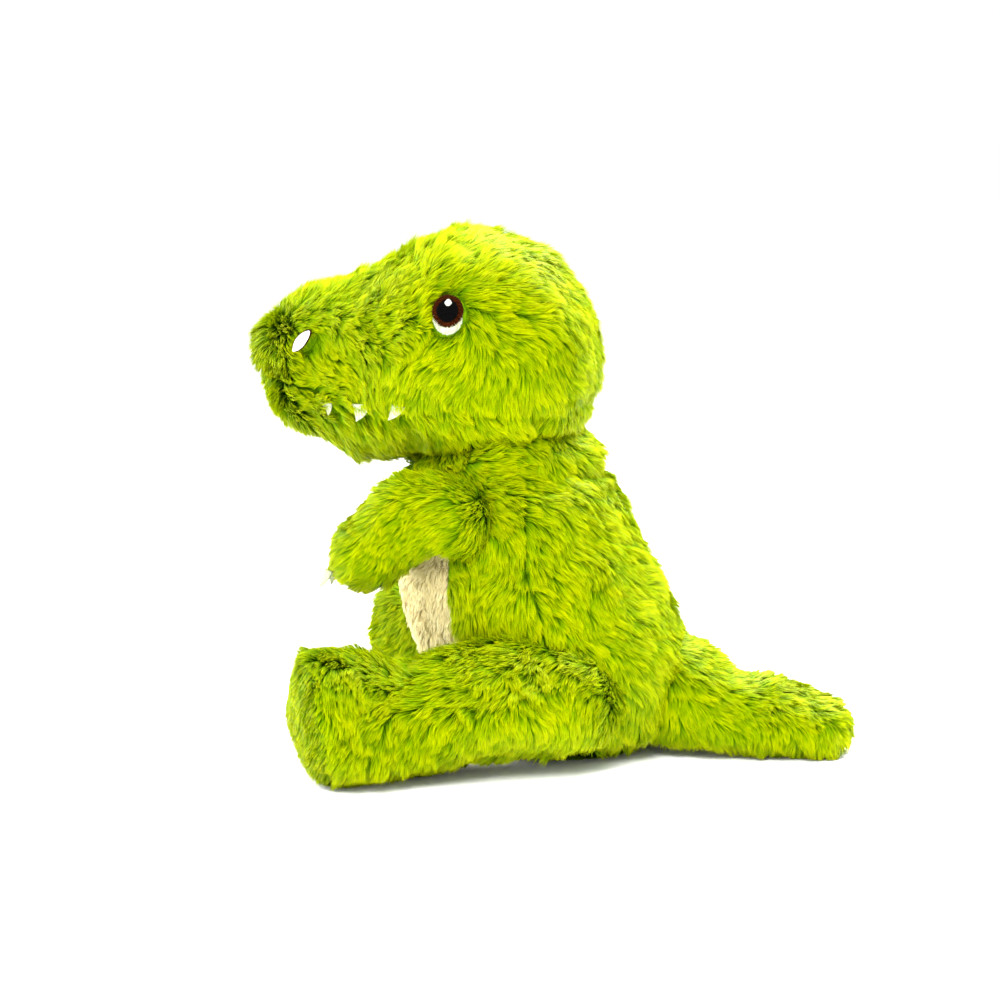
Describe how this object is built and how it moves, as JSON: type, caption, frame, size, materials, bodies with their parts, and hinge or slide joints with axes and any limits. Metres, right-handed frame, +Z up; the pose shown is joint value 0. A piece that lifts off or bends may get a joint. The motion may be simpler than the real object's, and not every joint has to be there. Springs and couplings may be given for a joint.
{
  "type": "stuffed toy dinosaur",
  "caption": "Sitting plush dinosaur of long-pile fabric with a pale belly, embroidered eyes, cloth teeth and a head, arms, legs and tail that flex at sewn joints.",
  "frame": {"origin": "centre of the flat seat, on the surface the toy sits on", "axes": "+Z up, the toy faces -Y, its left side is +X"},
  "size_m": [0.2372, 0.2765, 0.2377],
  "materials": {
    "green_plush": "long pile",
    "cream_plush": "short pile",
    "filling": "polyester fibre",
    "inner_cloth": "plain weave",
    "pellets": "loose beads",
    "green_thread": "twisted thread",
    "cream_embroidery": "satin stitch",
    "brown_embroidery": "satin stitch",
    "black_embroidery": "satin stitch",
    "white_embroidery": "satin stitch",
    "pale_patch": "felt",
    "tooth_cloth": "woven"
  },
  "bodies": {
    "torso": {"torso_left_panel": "green_plush", "torso_right_panel": "green_plush", "belly_panel": "cream_plush", "seat_panel": "green_plush", "torso_stuffing": "filling", "pellet_bag": "inner_cloth", "pellets": "pellets", "closing_seam": "green_thread"},
    "neck": {"neck_stuffing": "filling"},
    "head": {"head_left_panel": "green_plush", "head_right_panel": "green_plush", "head_top_gusset": "green_plush", "jaw_panel": "green_plush", "head_stuffing": "filling", "eye_left_white": "cream_embroidery", "eye_left_iris": "brown_embroidery", "eye_left_pupil": "black_embroidery", "eye_left_highlight": "white_embroidery", "eye_right_white": "cream_embroidery", "eye_right_iris": "brown_embroidery", "eye_right_pupil": "black_embroidery", "eye_right_highlight": "white_embroidery", "nostril_left": "pale_patch", "nostril_right": "pale_patch", "tooth_left_front": "tooth_cloth", "tooth_left_middle": "tooth_cloth", "tooth_left_rear": "tooth_cloth", "tooth_right_front": "tooth_cloth", "tooth_right_middle": "tooth_cloth", "tooth_right_rear": "tooth_cloth"},
    "arm_left": {"arm_left_outer_panel": "green_plush", "arm_left_inner_panel": "green_plush", "arm_left_stuffing": "filling", "arm_left_claws": "tooth_cloth"},
    "arm_right": {"arm_right_outer_panel": "green_plush", "arm_right_inner_panel": "green_plush", "arm_right_stuffing": "filling", "arm_right_claws": "tooth_cloth"},
    "leg_left": {"leg_left_outer_panel": "green_plush", "leg_left_inner_panel": "green_plush", "leg_left_sole": "green_plush", "leg_left_stuffing": "filling"},
    "leg_right": {"leg_right_outer_panel": "green_plush", "leg_right_inner_panel": "green_plush", "leg_right_sole": "green_plush", "leg_right_stuffing": "filling"},
    "tail": {"tail_left_panel": "green_plush", "tail_right_panel": "green_plush", "tail_base_panel": "green_plush", "tail_stuffing": "filling"}
  },
  "joints": [
    {"name": "neck_turn", "type": "hinge", "parent": "torso", "child": "neck", "pos_m": [0, -0.017, 0.13], "axis": [0, 0, 1], "range_deg": [-25, 25], "stiffness_Nm_per_rad": 0.4},
    {"name": "neck_nod", "type": "hinge", "parent": "neck", "child": "head", "pos_m": [0, -0.017, 0.13], "axis": [-1, 0, 0], "range_deg": [-6, 14], "stiffness_Nm_per_rad": 2},
    {"name": "arm_left_swing", "type": "hinge", "parent": "torso", "child": "arm_left", "pos_m": [0.043, -0.04, 0.11], "axis": [-1, 0, 0], "range_deg": [-10, 15], "stiffness_Nm_per_rad": 0.3},
    {"name": "arm_right_swing", "type": "hinge", "parent": "torso", "child": "arm_right", "pos_m": [-0.043, -0.04, 0.11], "axis": [-1, 0, 0], "range_deg": [-10, 15], "stiffness_Nm_per_rad": 0.3},
    {"name": "leg_left_lift", "type": "hinge", "parent": "torso", "child": "leg_left", "pos_m": [0.043, 0.008, 0.03], "axis": [-1, 0, 0], "range_deg": [0, 20], "stiffness_Nm_per_rad": 0.8},
    {"name": "leg_right_lift", "type": "hinge", "parent": "torso", "child": "leg_right", "pos_m": [-0.043, 0.008, 0.03], "axis": [-1, 0, 0], "range_deg": [0, 20], "stiffness_Nm_per_rad": 0.8},
    {"name": "tail_swing", "type": "hinge", "parent": "torso", "child": "tail", "pos_m": [0, 0.054, 0.027], "axis": [0, 0, 1], "range_deg": [-20, 20], "stiffness_Nm_per_rad": 0.4}
  ]
}
